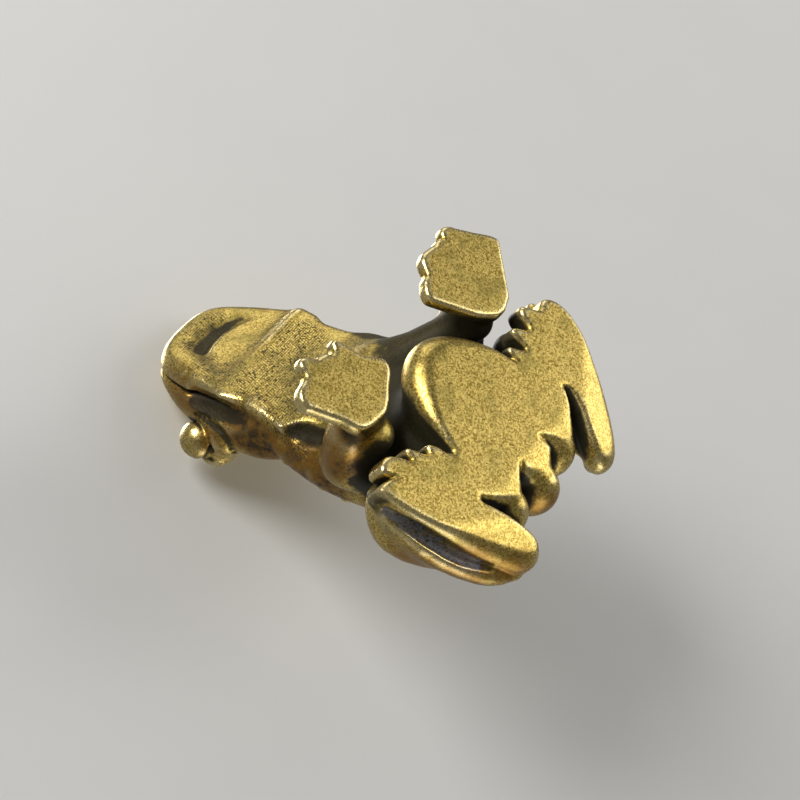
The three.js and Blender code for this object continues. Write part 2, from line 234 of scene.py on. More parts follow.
def carve(stations, edge):
    block, body = strand(stations)
    form[block] = smoothMax(form[block], -body, edge)


# The view of the photograph; some marks are placed by the column and row they are seen at
photoCamera = {
    "right": (0.485, 0.683, -0.532),
    "down": (-0.551, 0.713, 0.416),
    "offset": (4.302, -5.814, 258.72),  # mm, where the camera sees the point that places start from
    "lens": 100.125,
    "sensor": 36.0,
    "pixels": 800,
    "depths": (220.0, 300.0, 0.1),  # mm in front of the camera where the skin is looked for, and the step
    "clip": (0.001, 100.0),  # m
}
right = Vector(photoCamera["right"]).normalized()
down = Vector(photoCamera["down"])
down = (down - right * right.dot(down)).normalized()
forward = right.cross(down)
turn = Matrix((right, -down, -forward)).transposed()
offset = Vector(photoCamera["offset"])
eye = -(right * offset.x + down * offset.y + forward * offset.z)
pixels = photoCamera["pixels"]
focus = pixels * photoCamera["lens"] / photoCamera["sensor"]


def seenAt(column, row):
    # The first point of the skin behind a pixel
    aside, below = (column - pixels / 2) / focus, (row - pixels / 2) / focus
    sight = np.array(forward + right * aside + down * below)
    line = np.array(eye) + np.arange(*photoCamera["depths"])[:, None] * sight
    inside = sample(form, line) < 0
    return line[inside.argmax()]


def spotsAt(marks):
    # Places on the skin of marks that begin with a column and a row
    return np.array([seenAt(*mark[:2]) for mark in marks])


# Soles: closed outlines in the ground plane, as x and y
soles = {
    "forefoot_right": [
        (-6.75, -3.6), (-6.95, -2.8), (-7.6, -2.1), (-9.2, -1.2), (-10.8, -0.2), (-12.2, 0.45),
        (-14.0, 0.4), (-15.6, 0.2), (-16.7, -0.3), (-17.5, -1.5), (-18.0, -3.2), (-18.6, -4.5),
        (-19.4, -5.4), (-20.2, -6.1), (-20.4, -6.8), (-20.1, -7.8), (-19.2, -8.5), (-17.8, -8.8),
        (-17.05, -9.2), (-16.9, -10.1), (-16.3, -10.7), (-15.7, -10.75), (-15.0, -10.3), (-14.3, -9.6),
        (-13.6, -9.2), (-12.8, -9.25), (-12.3, -8.8), (-11.9, -8.5), (-11.4, -8.8), (-11.0, -9.4),
        (-10.5, -9.6), (-10.0, -9.3), (-9.6, -8.2), (-9.2, -6.8), (-8.6, -5.8), (-7.5, -4.8),
    ],
    "forefoot_left": [
        (5.1, -4.5), (5.4, -5.5), (6.2, -6.25), (7.1, -6.4), (7.7, -6.9), (8.1, -7.7), (8.7, -8.5),
        (9.7, -8.85), (11.2, -8.75), (12.2, -8.6), (13.0, -8.75), (13.8, -8.45), (14.15, -8.9),
        (14.7, -9.3), (15.5, -9.25), (16.3, -8.75), (16.9, -7.75), (17.9, -6.8), (19.0, -5.8),
        (20.2, -4.6), (20.85, -3.5), (20.4, -2.7), (19.0, -1.6), (17.4, -0.1), (16.1, 1.4), (14.8, 2.5),
        (13.2, 3.1), (11.7, 2.95), (10.4, 2.2), (9.0, 1.0), (7.8, -0.5), (6.6, -2.2), (5.6, -3.6),
    ],
    "hind_foot_right": [
        (-3.0, 10.6), (-6.5, 9.6), (-8.6, 9.3), (-9.3, 9.1), (-9.75, 8.5), (-10.1, 7.5), (-10.7, 6.6),
        (-11.2, 6.35), (-11.6, 6.7), (-11.85, 7.15), (-12.3, 6.8), (-12.9, 5.8), (-13.5, 5.0),
        (-14.0, 4.8), (-14.25, 5.4), (-14.5, 6.1), (-15.0, 5.5), (-15.6, 4.6), (-16.4, 3.9),
        (-17.3, 3.65), (-18.3, 3.85), (-18.9, 4.5), (-18.5, 5.4), (-18.1, 5.85), (-18.9, 5.55),
        (-20.0, 5.4), (-20.8, 5.5), (-21.0, 6.2), (-20.6, 7.8), (-20.1, 9.5), (-19.4, 11.4),
        (-18.6, 13.3), (-17.7, 15.2), (-16.6, 17.3), (-15.3, 19.6), (-13.8, 22.0), (-12.2, 24.2),
        (-10.8, 25.3), (-9.4, 25.5), (-8.3, 24.6), (-7.9, 23.2), (-8.4, 21.4), (-9.3, 19.2),
        (-10.2, 17.0), (-10.9, 15.1), (-8.6, 14.2), (-3.0, 13.6),
    ],
    "hind_foot_left": [
        (3.0, 10.6), (6.2, 8.9), (7.6, 8.5), (8.25, 8.1), (8.5, 7.6), (8.7, 6.7), (9.15, 6.2), (9.8, 6.6),
        (10.5, 7.5), (11.05, 8.0), (11.25, 7.2), (11.3, 6.0), (11.6, 5.2), (12.3, 5.25), (13.0, 5.9),
        (13.8, 6.75), (14.25, 6.2), (14.6, 5.0), (15.1, 4.35), (15.8, 4.25), (16.6, 5.0), (17.2, 5.8),
        (17.8, 6.15), (18.5, 5.85), (19.4, 5.75), (20.3, 6.3), (20.9, 7.4), (21.1, 9.0), (20.8, 10.8),
        (20.2, 13.0), (19.3, 15.4), (18.3, 17.8), (17.0, 20.2), (15.4, 22.5), (13.7, 24.4), (12.0, 25.6),
        (10.4, 25.9), (9.0, 25.3), (8.4, 23.8), (8.9, 22.0), (10.0, 19.9), (11.2, 17.4), (11.7, 14.8),
        (9.2, 14.2), (3.0, 13.6),
    ],
    "belly_plate": [
        (0.0, -1.9), (2.6, -1.3), (4.9, 0.3), (6.6, 2.4), (7.7, 4.7), (8.3, 7.0), (8.9, 9.2),
        (10.0, 12.0), (11.0, 14.4), (9.4, 15.4), (5.0, 16.0), (0.0, 16.2), (-5.0, 16.0), (-9.4, 15.4),
        (-10.6, 14.6), (-10.0, 12.0), (-9.0, 9.2), (-8.3, 7.0), (-7.7, 4.7), (-6.6, 2.4), (-4.9, 0.3),
        (-2.6, -1.3),
    ],
    "rump_lobe_right": [
        (-11.0, 14.4), (-9.8, 16.3), (-8.2, 18.0), (-7.1, 19.2), (-6.3, 19.8), (-5.3, 19.6), (-4.4, 18.4),
        (-3.5, 17.2), (-2.0, 15.6), (-3.0, 12.0), (-8.0, 11.6),
    ],
    "rump_lobe_middle": [
        (-3.0, 16.9), (-2.5, 18.4), (-1.5, 19.9), (-0.3, 20.7), (0.9, 20.7), (1.9, 20.0), (2.9, 18.9),
        (3.6, 17.8), (2.6, 15.0), (3.0, 12.0), (-3.0, 12.0), (-2.4, 15.0),
    ],
    "rump_lobe_left": [
        (3.8, 17.7), (4.3, 18.9), (5.2, 20.0), (6.5, 20.4), (7.7, 20.0), (8.5, 19.2), (9.4, 17.8),
        (10.6, 16.2), (11.4, 14.2), (8.0, 11.6), (3.0, 12.0), (2.4, 15.4),
    ],
}
soleLines = {name: outlineDistance(line, axisX, axisY) for name, line in soles.items()}

# Hind feet lie flat in front; behind a slanting line they thicken and lift to a round heel.
# Groove is given by column, row, radius and depth, and the other lists by x, y, z and radius.
hindFoot = {
    "flatEnd": (15.0, 15.0),  # a point on the slanting line
    "slant": (0.56, 0.83),  # the direction across it
    "heelRamp": (-1.5, 6.5),  # mm across it where the heel starts and is full
    "heelLength": 9.0,
    "lift": 2.5,
    "liftSoft": 0.2,  # share of the heel over which it starts to lift
    "edge": 0.7,
    "heelEdge": 2.1,
    "thickness": 3.3,
    "heelThickness": 4.4,
    "slateReach": 1.5,  # mm of grey around the groove
    "farSlateReach": 1.4,
    "rim": [
        (19.7, 5.8, 3.1, 0.6), (20.0, 8.5, 3.3, 0.8), (19.7, 11.2, 3.5, 0.9), (19.0, 13.8, 3.8, 1.0),
        (18.0, 16.3, 4.2, 1.0), (16.4, 18.9, 4.7, 1.1), (14.4, 21.4, 5.2, 1.2), (12.4, 23.3, 5.2, 1.3),
        (10.8, 24.3, 5.0, 1.2),
    ],
    "bed": [
        (18.6, 7.0, 4.2, 1.3), (18.8, 10.0, 4.4, 1.5), (18.1, 13.2, 4.6, 1.6), (16.9, 16.2, 4.9, 1.6),
        (15.2, 19.0, 5.2, 1.5), (13.2, 21.6, 5.4, 1.4),
    ],
    "groove": [
        (387, 511, 0.6, 0.35), (399, 520, 0.75, 0.5), (412, 528, 0.85, 0.6), (424, 537, 0.9, 0.65),
        (437, 545, 0.9, 0.65), (449, 553, 0.85, 0.6), (462, 560, 0.75, 0.5), (476, 565, 0.55, 0.3),
        (489, 568, 0.4, 0.15),
    ],
    "farGroove": [
        (21.3, 5.6, 2.3, 0.5), (21.2, 8.0, 2.6, 0.75), (20.8, 10.8, 2.9, 0.9), (20.1, 13.2, 3.2, 0.95),
        (19.1, 15.6, 3.6, 0.9), (17.7, 18.0, 4.2, 0.75), (16.1, 20.2, 4.7, 0.55), (14.6, 22.0, 5.0, 0.3),
    ],
}
lobes = {
    "edge": 0.9, "endEdge": 2.1, "thickness": 5.0, "lift": 1.2, "liftSoft": 0.5, "from": 15.5, "to": 20.5,
}
belly = {"edge": 0.9, "frontEdge": 2.6, "thickness": 5.4, "from": 0.5, "to": 8.0}
foreFoot = {"edge": 0.65, "thickness": 1.9}

# Limbs, neck and eyes. What is given in mm for one side is on the left.
# Neck ridge, neck pit, cheek and lid crease are given by column and row, and are on the right.
limbs = {
    "foreToes": {
        "right": [(-18.9, -6.9), (-16.0, -9.4), (-12.9, -8.0), (-10.6, -8.3), (-8.4, -3.6)],
        "left": [(19.0, -3.9), (15.0, -7.9), (12.4, -7.4), (9.8, -7.5), (7.0, -5.0)],
        "root": (13.0, -1.6),
        "tipHeight": 1.35, "tipRadius": 0.6, "rootHeight": 2.0, "rootRadius": 1.1, "fillet": 0.35,
    },
    "hindToes": {
        "right": [(-19.9, 6.8), (-17.1, 5.2), (-13.7, 6.2), (-11.0, 7.7)],
        "left": [(19.5, 7.1), (15.6, 5.8), (12.1, 6.6), (9.6, 7.6)],
        "root": (15.0, 12.5),
        "tipHeight": 2.3, "tipRadius": 0.8, "rootHeight": 3.2, "rootRadius": 1.4, "fillet": 0.3,
    },
    "web": [(12.2, 1.6, 4.6, 2.4), (7.5, -0.5, 10.5, 2.6), (4.5, -2.0, 14.0, 3.2)],
    "neckRidge": [(254, 404), (262, 412), (268, 424), (273, 438), (282, 452), (296, 464), (310, 472)],
    "ridgeRadius": 0.8,
    "ridgeHeight": 0.4,
    "neckPit": [(290, 431, 1.3, 0.5), (303, 434, 1.5, 0.9), (317, 437, 1.3, 0.7)],
    "cheek": [(196, 398, 1.6, 0.6), (206, 406, 1.8, 1.0), (220, 414, 1.9, 1.1), (236, 421, 1.8, 0.7)],
    "lid": [(8.9, -9.7, 29.3, 2.2), (9.3, -9.0, 28.0, 2.1)],
    "eye": (10.0, -10.9, 30.8),
    "eyeSwell": 0.15,
    "gaze": (0.755, -0.656, 0.0),
    # The eye slit and the lid slit get painted shade round them, over the reaches given here in mm
    "eyeSlit": {"radius": 2.72, "width": 0.34, "behind": 0.3, "stations": 49, "sootReach": 0.7},
    "lidSlit": [
        (8.4, -13.4, 29.7, 0.25), (9.0, -12.2, 30.0, 0.4), (9.5, -10.55, 30.3, 0.45),
        (10.0, -9.1, 30.6, 0.4), (10.4, -8.1, 30.85, 0.3),
    ],
    "lidSootReach": 0.95,
    "lidCrease": [
        (196, 414, 0.4, 0.2), (204, 418, 0.5, 0.35), (213, 424, 0.55, 0.4), (222, 432, 0.55, 0.4),
        (230, 442, 0.5, 0.3), (234, 452, 0.4, 0.2),
    ],
}

# The chin is a facet of its own plane: x across, run forward from the crease, rise into the head.
chin = {
    "crease": (-13.0, 22.0),  # y and z
    "slope": 43.0,
    "throatSlope": 38.0,
    "reach": 18.0,  # run to either side of the crease
    "plate": {"thickness": 2.0, "edge": 0.6, "taper": 0.0},
    "throatPlate": {"thickness": 5.0, "edge": 0.9, "taper": 0.9},
    "smoothing": {"width": 0.3, "back": 1.0, "under": 11.0},  # the head, before this y and above this z
    "mouthRise": 2.2,
    "mouthGap": 0.19,
    "mouthDepth": 1.0,
    "mouthBack": 0.3,
    "reliefReach": (1.0, 2.0),  # mm from the facet where relief begins to fade and ends
    "dent": {
        "run": 7.8, "bend": 0.06, "middle": -0.3, "wall": 1.3, "slope": 3.4, "depth": 0.75,
        "left": (1.6, 6.2), "right": (-5.4, -2.6),
    },
    "ridge": {"run": 0.55, "width": 0.7, "from": (-4.5, 3.0), "to": (8.6, 9.6), "height": 0.3},
    "jawLine": [
        (0.0, 13.05), (1.6, 13.0), (3.1, 12.7), (4.4, 12.1), (5.4, 11.1), (6.1, 9.8), (6.7, 8.2),
        (7.3, 6.6), (8.0, 5.0), (8.7, 3.4), (9.4, 1.8), (9.8, 0.6), (9.7, -0.6), (9.0, -2.0),
        (6.0, -3.0), (0.0, -3.0),
    ],
    "throatLine": [
        (9.3, -1.2), (9.1, 0.0), (8.7, 1.4), (8.4, 3.0), (8.3, 4.6), (8.6, 6.4), (9.2, 8.2), (9.0, 10.0),
        (6.0, 12.0), (0.0, 12.4), (-7.0, 12.0), (-11.6, 10.4), (-12.0, 8.6), (-11.2, 7.0), (-10.6, 5.6),
        (-10.2, 4.2), (-10.0, 2.8), (-10.1, 1.4), (-10.2, 0.2), (-9.9, -1.2),
    ],
}
chinTurn = math.radians(chin["slope"])
throatTurn = math.radians(chin["throatSlope"])


def onChin(x, run):
    y, z = chin["crease"]
    return (x, y - run * math.cos(chinTurn), z + run * math.sin(chinTurn))


def onThroat(x, down):
    y, z = chin["crease"]
    return (x, y + down * math.cos(throatTurn), z - down * math.sin(throatTurn))


def facetForm(line, turn, plate):
    # A plate in a plane through the crease, with the outline, the run and the rise of every sample
    edge, thickness = plate["edge"], plate["thickness"]
    runAxis = np.arange(-chin["reach"], chin["reach"], step)
    flat = outlineDistance(line, axisX, runAxis)
    y, z = axisY[:, None] - chin["crease"][0], axisZ[None, :] - chin["crease"][1]
    run = -y * math.cos(turn) + z * math.sin(turn)
    rise = y * math.sin(turn) + z * math.cos(turn)
    spot = np.clip((run - runAxis[0]) / step, 0, len(runAxis) - 2.001)
    base = spot.astype(int)
    share = (spot - base).astype(np.float32)
    outline = flat[:, base] * (1 - share) + flat[:, base + 1] * share
    side = outline + edge + plate["taper"] * rise
    tall = (np.abs(rise - thickness / 2) - thickness / 2 + edge)[None]
    outer = np.sqrt(np.clip(side, 0, None) ** 2 + np.clip(tall, 0, None) ** 2)
    form = np.minimum(np.maximum(side, tall), 0) + outer - edge
    return form.astype(np.float32), outline, run[None], rise[None]


def bothSides(half):
    return half + [(-x, along) for x, along in half[::-1] if x > 0]


def mirrored(stations, way):
    return [(way * x, y, z, r) for x, y, z, r in stations]


def ramp(low, high, value):
    share = np.clip((value - low) / (high - low), 0, 1)
    return share * share * (3 - 2 * share)


def slopeUp(share, soft):
    # Level below 0, then an even slope, with a soft start
    share = np.clip(share, 0, 1 + soft / 2)
    return np.where(share < soft, share * share / (2 * soft), share - soft / 2)


def filled(stations, pieces):
    # More stations between those given, evenly spaced
    stations = np.array(stations)
    marks = np.linspace(0, len(stations) - 1, (len(stations) - 1) * pieces + 1)
    columns = [np.interp(marks, np.arange(len(stations)), column) for column in stations.T]
    return [tuple(row) for row in np.stack(columns, 1)]


def slopeAt(places):
    # Direction out of the surface, from the distance field
    sides = []
    for axis in range(3):
        shift = np.zeros(3)
        shift[axis] = step
        sides.append(sample(form, places + shift) - sample(form, places - shift))
    slope = np.stack(sides, 1)
    return slope / np.linalg.norm(slope, axis=1, keepdims=True).clip(1e-9)


def scoop(spots, marks, fillet, way=1):
    # A hollow through spots on the skin, with the radius and depth of each mark; way -1 is the other side
    spots = spots * (way, 1, 1)
    radii, depths = np.array(marks)[:, 2:].T[:, :, None]
    carve(np.hstack((spots + slopeAt(spots) * (radii - depths), radii)), fillet)


def addToes(toes, side, way):
    # A ridge along each toe, from its tip to where the toes meet
    rootX, rootY = toes["root"]
    root = (way * rootX, rootY, toes["rootHeight"], toes["rootRadius"])
    for x, y in toes[side]:
        addStrand([(x, y, toes["tipHeight"], toes["tipRadius"]), root], toes["fillet"])


leftAndRight = (("left", 1), ("right", -1))
pour("trunk")
pour("head")
pour("lower_jaw")
throatLine = [(x, -down) for x, down in chin["throatLine"]]
throatPlate = facetForm(throatLine, throatTurn, chin["throatPlate"])[0]
form = smoothMin(form, throatPlate, fillets["throat"])
jawPlate, outline, run, rise = facetForm(bothSides(chin["jawLine"]), chinTurn, chin["plate"])
form = smoothMin(form, jawPlate, fillets["chin"])
smoothing = chin["smoothing"]
lastRow = int((smoothing["back"] - gridLow[1]) / step)
firstLayer = int((smoothing["under"] - gridLow[2]) / step)
headward = np.s_[:, :lastRow, firstLayer:]
form[headward] = soften(form[headward], smoothing["width"])

# Relief on the chin: a crescent dent with a steep rear wall,
# and a ridge along the crease that fades to the toad's right
across = axisX[:, None, None]
nearFacet = 1 - ramp(*chin["reliefReach"], np.abs(rise))
dent, ridge = chin["dent"], chin["ridge"]
inDent = run - dent["run"] + dent["bend"] * (across - dent["middle"]) ** 2
dentRun = ramp(-dent["wall"], 0.0, inDent) * (1 - ramp(0.0, dent["slope"], inDent))
dentWide = ramp(*dent["right"], across) * (1 - ramp(*dent["left"], across))
ridgeWide = ramp(*ridge["from"], across) * (1 - ramp(*ridge["to"], across))
ridgeRun = np.exp(-(((run - ridge["run"]) / ridge["width"]) ** 2))
relief = dent["depth"] * dentRun * dentWide - ridge["height"] * ridgeRun * ridgeWide
form = (form + relief * nearFacet).astype(np.float32)

# Forelegs and neck
for side, way in leftAndRight:
    pour("foreleg_" + side)
    addStrand(mirrored(limbs["web"], way), fillets["web"])
neckSpots, pitSpots, cheekSpots = (spotsAt(limbs[mark]) for mark in ("neckRidge", "neckPit", "cheek"))
sunk = limbs["ridgeHeight"] - limbs["ridgeRadius"]
ridgeLine = neckSpots + sunk * slopeAt(neckSpots)
addStrand([(*spot, limbs["ridgeRadius"]) for spot in ridgeLine], fillets["neckRidge"])
for way in (1, -1):
    scoop(pitSpots, limbs["neckPit"], fillets["neckPit"], way)
    scoop(cheekSpots, limbs["cheek"], fillets["cheek"], way)

# Hind legs, lids and mouth
for side, way in leftAndRight:
    pour("hind_leg_" + side)
    addStrand(mirrored(hindFoot["bed"], way), fillets["bed"])
    addStrand(mirrored(hindFoot["rim"], way), fillets["rim"])
    pour("eyelid_" + side)
    addStrand(mirrored(limbs["lid"], way), fillets["lid"])
mouth = np.maximum(np.abs(rise - chin["mouthRise"]) - chin["mouthGap"], -run - chin["mouthBack"])
mouth = np.maximum(mouth, -(outline + chin["mouthDepth"]))
form = smoothMax(form, -mouth.astype(np.float32), fillets["mouth"])

# Belly and lobes: slabs inside their outlines, rounder at the front of the belly and the end of each lobe
everyX = np.ones((gridShape[0], 1))
bellyFront = (1 - ramp(belly["from"], belly["to"], axisY))[None, :]
bellyEdge = belly["edge"] + (belly["frontEdge"] - belly["edge"]) * bellyFront * everyX
bellySole = roundedSlab(soleLines["belly_plate"], bellyEdge, belly["thickness"])
form = smoothMin(form, bellySole, fillets["belly"])
tail = ramp(lobes["from"], lobes["to"], axisY)[None, :] * everyX
tailShare = (axisY - lobes["from"]) / (lobes["to"] - lobes["from"])
tilt = slopeUp(tailShare, lobes["liftSoft"])[None, :] * everyX
lobeEdge = lobes["edge"] + (lobes["endEdge"] - lobes["edge"]) * tail
for name in ("rump_lobe_left", "rump_lobe_right", "rump_lobe_middle"):
    pour(name)
    lobe = roundedSlab(soleLines[name], lobeEdge, lobes["thickness"], lobes["lift"] * tilt)
    form = smoothMin(form, lobe, fillets["lobeSole"])

# Feet and eyes
slitSpots = []
upward = np.array((0, 0, 1))
eyeSlit = limbs["eyeSlit"]
for side, way in leftAndRight:
    beyond = (
        (way * axisX[:, None] - hindFoot["flatEnd"][0]) * hindFoot["slant"][0]
        + (axisY[None, :] - hindFoot["flatEnd"][1]) * hindFoot["slant"][1]
    )
    heel = ramp(*hindFoot["heelRamp"], beyond)
    edge = hindFoot["edge"] + (hindFoot["heelEdge"] - hindFoot["edge"]) * heel
    tall = hindFoot["thickness"] + (hindFoot["heelThickness"] - hindFoot["thickness"]) * heel
    lift = hindFoot["lift"] * slopeUp(beyond / hindFoot["heelLength"], hindFoot["liftSoft"])
    hindSole = roundedSlab(soleLines["hind_foot_" + side], edge, tall, lift)
    form = smoothMin(form, hindSole, fillets["hindSole"])
    foreSole = roundedSlab(soleLines["forefoot_" + side], foreFoot["edge"], foreFoot["thickness"])
    form = smoothMin(form, foreSole, fillets["foreSole"])
    pour("forefoot_" + side)
    addToes(limbs["foreToes"], side, way)
    addToes(limbs["hindToes"], side, way)
    pour("eye_" + side, limbs["eyeSwell"])
    gaze = np.array(limbs["gaze"]) * (way, 1, 1)
    middle = np.array(limbs["eye"]) * (way, 1, 1) - gaze * eyeSlit["behind"]
    aside = np.array((-gaze[1], gaze[0], 0.0))
    ring = [
        (*(middle + eyeSlit["radius"] * (math.cos(t) * aside + math.sin(t) * upward)), eyeSlit["width"])
        for t in np.linspace(0, 2 * math.pi, eyeSlit["stations"])
    ]
    carve(ring, fillets["eyeSlit"])
    # Painted shade along the eye slit and the lid slit
    slitSpots += [(*spot[:3], eyeSlit["sootReach"], 1.0) for spot in ring]
    lidSlit = mirrored(limbs["lidSlit"], way)
    carve(lidSlit, fillets["lidSlit"])
    slitSpots += filled([(*spot[:3], limbs["lidSootReach"], 1.0) for spot in lidSlit], 4)
creaseSpots = spotsAt(limbs["lidCrease"])
for way in (1, -1):
    scoop(creaseSpots, limbs["lidCrease"], fillets["lidCrease"], way)
grooveSpots = spotsAt(hindFoot["groove"])
scoop(grooveSpots, hindFoot["groove"], fillets["groove"])
carve(hindFoot["farGroove"], fillets["farGroove"])
form = np.maximum(form, -axisZ[None, None, :])  # every sole ends in the ground plane
print("sections joined")


def openAir(air):
    # The air that is reached from outside, swept through the block along each axis
    reached = air.copy()
    reached[1:-1, 1:-1, 1:-1] = False
    while True:
        before = reached.sum()
        for axis in range(3):
            rows, free = np.moveaxis(reached, axis, 0), np.moveaxis(air, axis, 0)
            for i in range(1, len(rows)):
                rows[i] |= rows[i - 1] & free[i]
            for i in range(len(rows) - 2, -1, -1):
                rows[i] |= rows[i + 1] & free[i]
        if reached.sum() == before:
            return reached


sealed = (form >= 0) & ~openAir(form >= 0)
form[sealed] = -step  # no pocket stays closed inside the casting

# Every sample inside the casting belongs to the section that it lies deepest in
names = sorted(sections)
owner = np.zeros(gridShape, np.int8)
deepest = np.full(gridShape, np.inf, np.float32)
for index, name in enumerate(names):
    block, section = sections[name]
    deeper = section < deepest[block]
    owner[block][deeper] = index + 1
    deepest[block][deeper] = section[deeper]
owner[form >= 0] = 0


def cornersOf(values, cells):
    return np.stack([values[tuple((cells + corner).T)] for corner in np.ndindex(2, 2, 2)], 1)


def layNet(form, owner):
    # One point in each cell where two owners meet, and one quad across each edge between them
    meet = np.zeros(tuple(n - 1 for n in owner.shape), bool)
    first = owner[:-1, :-1, :-1]
    for corner in np.ndindex(2, 2, 2):
        window = tuple(slice(c, n - 1 + c) for c, n in zip(corner, owner.shape))
        meet |= owner[window] != first
    cells = np.argwhere(meet)
    number = np.full(meet.shape, -1, np.int32)
    number[tuple(cells.T)] = np.arange(len(cells))
    heights = cornersOf(form, cells)
    owners = cornersOf(owner, cells)
    corners = np.array(list(np.ndindex(2, 2, 2)), float)
    skinSum, skinCount = np.zeros((len(cells), 3)), np.zeros(len(cells))
    wallSum, wallCount = np.zeros((len(cells), 3)), np.zeros(len(cells))
    for i in range(8):
        for j in range(i + 1, 8):
            if np.abs(corners[i] - corners[j]).sum() != 1:
                continue
            outer = (owners[:, i] == 0) != (owners[:, j] == 0)
            inner = (owners[:, i] != owners[:, j]) & ~outer
            drop = heights[:, i] - heights[:, j]
            share = np.where(outer, heights[:, i] / np.where(drop == 0, 1, drop), 0.5)
            spot = corners[i] + share[:, None] * (corners[j] - corners[i])
            skinSum += spot * outer[:, None]
            skinCount += outer
            wallSum += spot * inner[:, None]
            wallCount += inner
    onSurface = skinCount > 0
    spots = np.where(onSurface[:, None], skinSum, wallSum)
    spots = spots / np.where(onSurface, skinCount, wallCount).clip(1)[:, None]
    quads, sides = [], []
    for axis in range(3):
        across, up = (axis + 1) % 3, (axis + 2) % 3
        lower = [slice(1, n - 1) for n in owner.shape]
        upper = list(lower)
        lower[axis], upper[axis] = slice(0, -1), slice(1, None)
        before, after = owner[tuple(lower)], owner[tuple(upper)]
        edges = np.argwhere(before != after)
        sides.append(np.stack((before[tuple(edges.T)], after[tuple(edges.T)]), 1))
        edges[:, across] += 1
        edges[:, up] += 1
        ring = []
        for back, under in ((1, 1), (0, 1), (0, 0), (1, 0)):
            cell = edges.copy()
            cell[:, across] -= back
            cell[:, up] -= under
            ring.append(number[tuple(cell.T)])
        quads.append(np.stack(ring, 1))
    return cells + spots, onSurface, np.vstack(quads), np.vstack(sides)


def linked(count, first, second):
    # A common number for all points that a chain of edges joins
    group = np.arange(count)
    while True:
        least = np.minimum(group[first], group[second])
        fresh = group.copy()
        np.minimum.at(fresh, first, least)
        np.minimum.at(fresh, second, least)
        fresh = fresh[fresh]
        if np.array_equal(fresh, group):
            return group
        group = fresh


spots, onSurface, quads, sides = layNet(form, owner)
group = linked(len(spots), quads.ravel(), np.roll(quads, 1, axis=1).ravel())
loose = group != np.bincount(group).argmax()
places = gridLow + step * spots
normals = slopeAt(places)
outerFaces = (sides == 0).any(1)
print("skin:", int(onSurface.sum()), "points,", int(outerFaces.sum()), "faces,", int(loose.sum()), "loose")

# What each point bears: rubbed where it stands proud, and darkened where metal closes round it, as patina
# and painted shade
wearAndShade = {
    "edgeBlur": 0.3, "edgeReach": 0.36,   # mm, how finely the roundness of an edge is felt
    "thin": 3,                            # one sample in this many is enough for hollows
    "hollowBlur": 1.3, "hollowOut": 0.9,  # mm, metal around a point that far off the skin
    "deepBlur": 3.6, "deepOut": 2.4,
    "dabFade": 0.8,                       # share of a dab's reach over which it grows
}
fine = soften(form, wearAndShade["edgeBlur"])
around = sum(
    sample(fine, places + shift) + sample(fine, places - shift) for shift in np.eye(3) * wearAndShade["edgeReach"]
) - 6 * sample(fine, places)
proud = around / wearAndShade["edgeReach"] ** 2  # one over the radius of a round edge, negative in a hollow
thin = wearAndShade["thin"]
solid = np.clip(0.5 - form[::thin, ::thin, ::thin] / (2 * step), 0, 1).astype(np.float32)


def enclosed(kind):
    # The share of metal around points off the skin
    blurred = soften(solid, wearAndShade[kind + "Blur"], thin * step)
    return sample(blurred, places + normals * wearAndShade[kind + "Out"], gridLow, thin * step)


def seen(spots):
    # Spots by column, row, reach and strength, set on the skin
    return [(*seenAt(column, row), reach, power) for column, row, reach, power in spots]


def trail(stations, pieces=4):
    # Overlapping spots along a line
    return seen(filled(stations, pieces))


def dabs(spots):
    # Soft spots of a trace, each at x, y, z with its reach and strength
    total = np.zeros(len(places))
    for x, y, z, reach, strength in spots:
        gap = np.linalg.norm(places - (x, y, z), axis=1) / reach
        total = np.maximum(total, strength * ramp(0, wearAndShade["dabFade"], 1 - gap))
    return total


# Painted shade in the chin dent, the cheek hollow, the neck pit, the lid crease and on the shaded far
# shoulder, as column, row, reach and strength
shadeTrails = {
    "chinDent": [
        (201, 352, 1.6, 1.0), (206, 345, 1.6, 1.0), (212, 338, 1.4, 1.0), (221, 331, 1.1, 0.9),
        (232, 324, 0.9, 0.8), (242, 319, 0.7, 0.5),
    ],
    "cheek": [
        (195, 402, 1.5, 0.9), (204, 406, 1.9, 1.0), (218, 411, 2.0, 1.0), (232, 416, 1.8, 0.9),
        (246, 420, 1.4, 0.6),
    ],
    "neckPit": [
        (288, 430, 1.2, 0.6), (297, 431, 1.7, 1.0), (308, 433, 2.0, 1.0), (320, 437, 1.8, 1.0),
    ],
    "lidCrease": [
        (196, 414, 0.6, 0.7), (213, 424, 0.8, 0.9), (226, 437, 0.8, 0.9), (234, 452, 0.7, 0.6),
    ],
    "farShoulder": [
        (336, 327, 1.2, 0.3), (352, 331, 2.0, 0.6), (372, 335, 2.8, 0.8), (392, 337, 3.6, 0.9),
        (410, 336, 4.4, 0.9),
    ],
}
